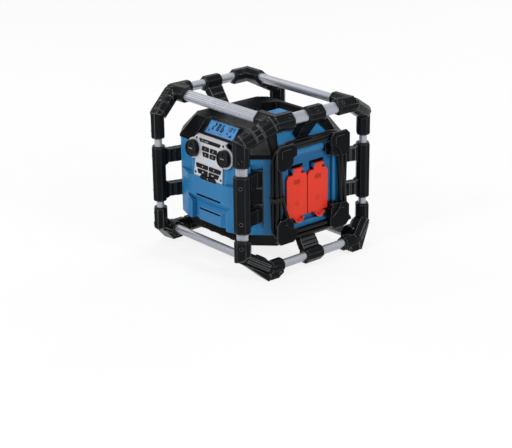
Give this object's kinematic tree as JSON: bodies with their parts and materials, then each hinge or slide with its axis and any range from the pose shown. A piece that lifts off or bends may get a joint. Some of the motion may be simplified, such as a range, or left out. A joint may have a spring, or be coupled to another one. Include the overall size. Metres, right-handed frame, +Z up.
{
  "type": "jobsite radio",
  "caption": "Rugged jobsite radio with a tubular roll cage, leaning control panel, flip-cover mains outlets and a wound power cord.",
  "frame": {"origin": "on the floor, under the centre of the cage", "axes": "+Z up, -Y is the front with the controls, +X is the side with the mains outlets"},
  "size_m": [0.389, 0.3952, 0.3676],
  "materials": {
    "bar_aluminium": "satin anodised",
    "cage_rubber": "matt moulded",
    "case_blue": "fine satin",
    "case_black": "fine grain",
    "grille_black": "perforated, matt",
    "screw_steel": "blackened",
    "pin_steel": "ground",
    "panel_silver": "satin",
    "knob_black": "satin",
    "button_black": "satin",
    "display_blue": "backlit",
    "lens_clear": "clear",
    "board_green": "lacquered",
    "flap_red": "satin",
    "socket_grey": "smooth",
    "cord_black": "matt",
    "blade_plug": "matt",
    "pack_black": "grained",
    "supply_metal": "plain",
    "speaker_black": "matt"
  },
  "bodies": {
    "case": {"post_tubes": "bar_aluminium", "side_bars": "bar_aluminium", "cross_bars": "bar_aluminium", "top_elbow_front_left": "cage_rubber", "bottom_elbow_front_left": "cage_rubber", "post_sleeve_front_left": "cage_rubber", "top_elbow_front_right": "cage_rubber", "bottom_elbow_front_right": "cage_rubber", "post_sleeve_front_right": "cage_rubber", "top_elbow_rear_left": "cage_rubber", "bottom_elbow_rear_left": "cage_rubber", "post_sleeve_rear_left": "cage_rubber", "top_elbow_rear_right": "cage_rubber", "bottom_elbow_rear_right": "cage_rubber", "post_sleeve_rear_right": "cage_rubber", "top_clamps": "cage_rubber", "bottom_clamps": "cage_rubber", "case_screws": "screw_steel", "housing_shell": "case_blue", "front_fascia": "case_blue", "base_tray": "case_black", "top_cover": "case_black", "slope_fascias": "case_blue", "utility_block": "case_blue", "corner_grilles": "grille_black", "corner_speakers": "speaker_black", "subwoofer": "speaker_black", "display_bezel": "case_black", "display_lens": "lens_clear", "lcd_module": "display_blue", "control_panel": "panel_silver", "switch_board": "board_green", "outlet_panel": "case_blue", "hinge_pins": "pin_steel", "outlet_sockets": "socket_grey", "cord_hooks": "case_black", "power_cord_winding": "cord_black", "power_cord_lead": "cord_black", "cord_gland": "cord_black", "cord_clip": "cord_black", "power_plug": "blade_plug", "battery_pack": "pack_black", "main_board": "board_green", "power_supply": "supply_metal"},
    "volume_knob": {"volume_knob": "knob_black"},
    "tuning_knob": {"tuning_knob": "knob_black"},
    "outlet_flap_front": {"outlet_flap_front": "flap_red"},
    "outlet_flap_rear": {"outlet_flap_rear": "flap_red"},
    "battery_door": {"battery_door": "case_black"},
    "power_button": {"power_button": "button_black"},
    "preset_button_1": {"preset_button_1": "button_black"},
    "preset_button_2": {"preset_button_2": "button_black"},
    "preset_button_3": {"preset_button_3": "button_black"},
    "preset_button_4": {"preset_button_4": "button_black"},
    "mode_button_1": {"mode_button_1": "button_black"},
    "mode_button_2": {"mode_button_2": "button_black"},
    "mode_button_3": {"mode_button_3": "button_black"},
    "mode_button_4": {"mode_button_4": "button_black"},
    "tone_button": {"tone_button": "button_black"}
  },
  "joints": [
    {"name": "volume_turn", "type": "hinge", "parent": "case", "child": "volume_knob", "pos_m": [-0.055, -0.14964, 0.25099], "axis": [0, -0.9952, 0.0974], "continuous": true},
    {"name": "tuning_turn", "type": "hinge", "parent": "case", "child": "tuning_knob", "pos_m": [0.055, -0.14964, 0.25099], "axis": [0, -0.9952, 0.0974], "continuous": true},
    {"name": "power_press", "type": "slide", "parent": "case", "child": "power_button", "axis": [0, 0.9952, -0.0974], "range_m": [0, 0.0012], "stiffness_N_per_m": 400, "springref_m": -0.003},
    {"name": "preset_press_1", "type": "slide", "parent": "case", "child": "preset_button_1", "axis": [0, 0.9952, -0.0974], "range_m": [0, 0.0012], "stiffness_N_per_m": 400, "springref_m": -0.003},
    {"name": "preset_press_2", "type": "slide", "parent": "case", "child": "preset_button_2", "axis": [0, 0.9952, -0.0974], "range_m": [0, 0.0012], "stiffness_N_per_m": 400, "springref_m": -0.003},
    {"name": "preset_press_3", "type": "slide", "parent": "case", "child": "preset_button_3", "axis": [0, 0.9952, -0.0974], "range_m": [0, 0.0012], "stiffness_N_per_m": 400, "springref_m": -0.003},
    {"name": "preset_press_4", "type": "slide", "parent": "case", "child": "preset_button_4", "axis": [0, 0.9952, -0.0974], "range_m": [0, 0.0012], "stiffness_N_per_m": 400, "springref_m": -0.003},
    {"name": "mode_press_1", "type": "slide", "parent": "case", "child": "mode_button_1", "axis": [0, 0.9952, -0.0974], "range_m": [0, 0.0012], "stiffness_N_per_m": 400, "springref_m": -0.003},
    {"name": "mode_press_2", "type": "slide", "parent": "case", "child": "mode_button_2", "axis": [0, 0.9952, -0.0974], "range_m": [0, 0.0012], "stiffness_N_per_m": 400, "springref_m": -0.003},
    {"name": "mode_press_3", "type": "slide", "parent": "case", "child": "mode_button_3", "axis": [0, 0.9952, -0.0974], "range_m": [0, 0.0012], "stiffness_N_per_m": 400, "springref_m": -0.003},
    {"name": "mode_press_4", "type": "slide", "parent": "case", "child": "mode_button_4", "axis": [0, 0.9952, -0.0974], "range_m": [0, 0.0012], "stiffness_N_per_m": 400, "springref_m": -0.003},
    {"name": "tone_press", "type": "slide", "parent": "case", "child": "tone_button", "axis": [0, 0.9952, -0.0974], "range_m": [0, 0.0012], "stiffness_N_per_m": 400, "springref_m": -0.003},
    {"name": "outlet_flap_front_lift", "type": "hinge", "parent": "case", "child": "outlet_flap_front", "pos_m": [0.1575, -0.031, 0.225], "axis": [0, -1, 0], "range_deg": [0, 105]},
    {"name": "outlet_flap_rear_lift", "type": "hinge", "parent": "case", "child": "outlet_flap_rear", "pos_m": [0.1575, 0.031, 0.225], "axis": [0, -1, 0], "range_deg": [0, 105]},
    {"name": "battery_door_swing", "type": "hinge", "parent": "case", "child": "battery_door", "pos_m": [-0.0705, 0.144, 0.159], "axis": [0, 0, 1], "range_deg": [0, 110]}
  ]
}
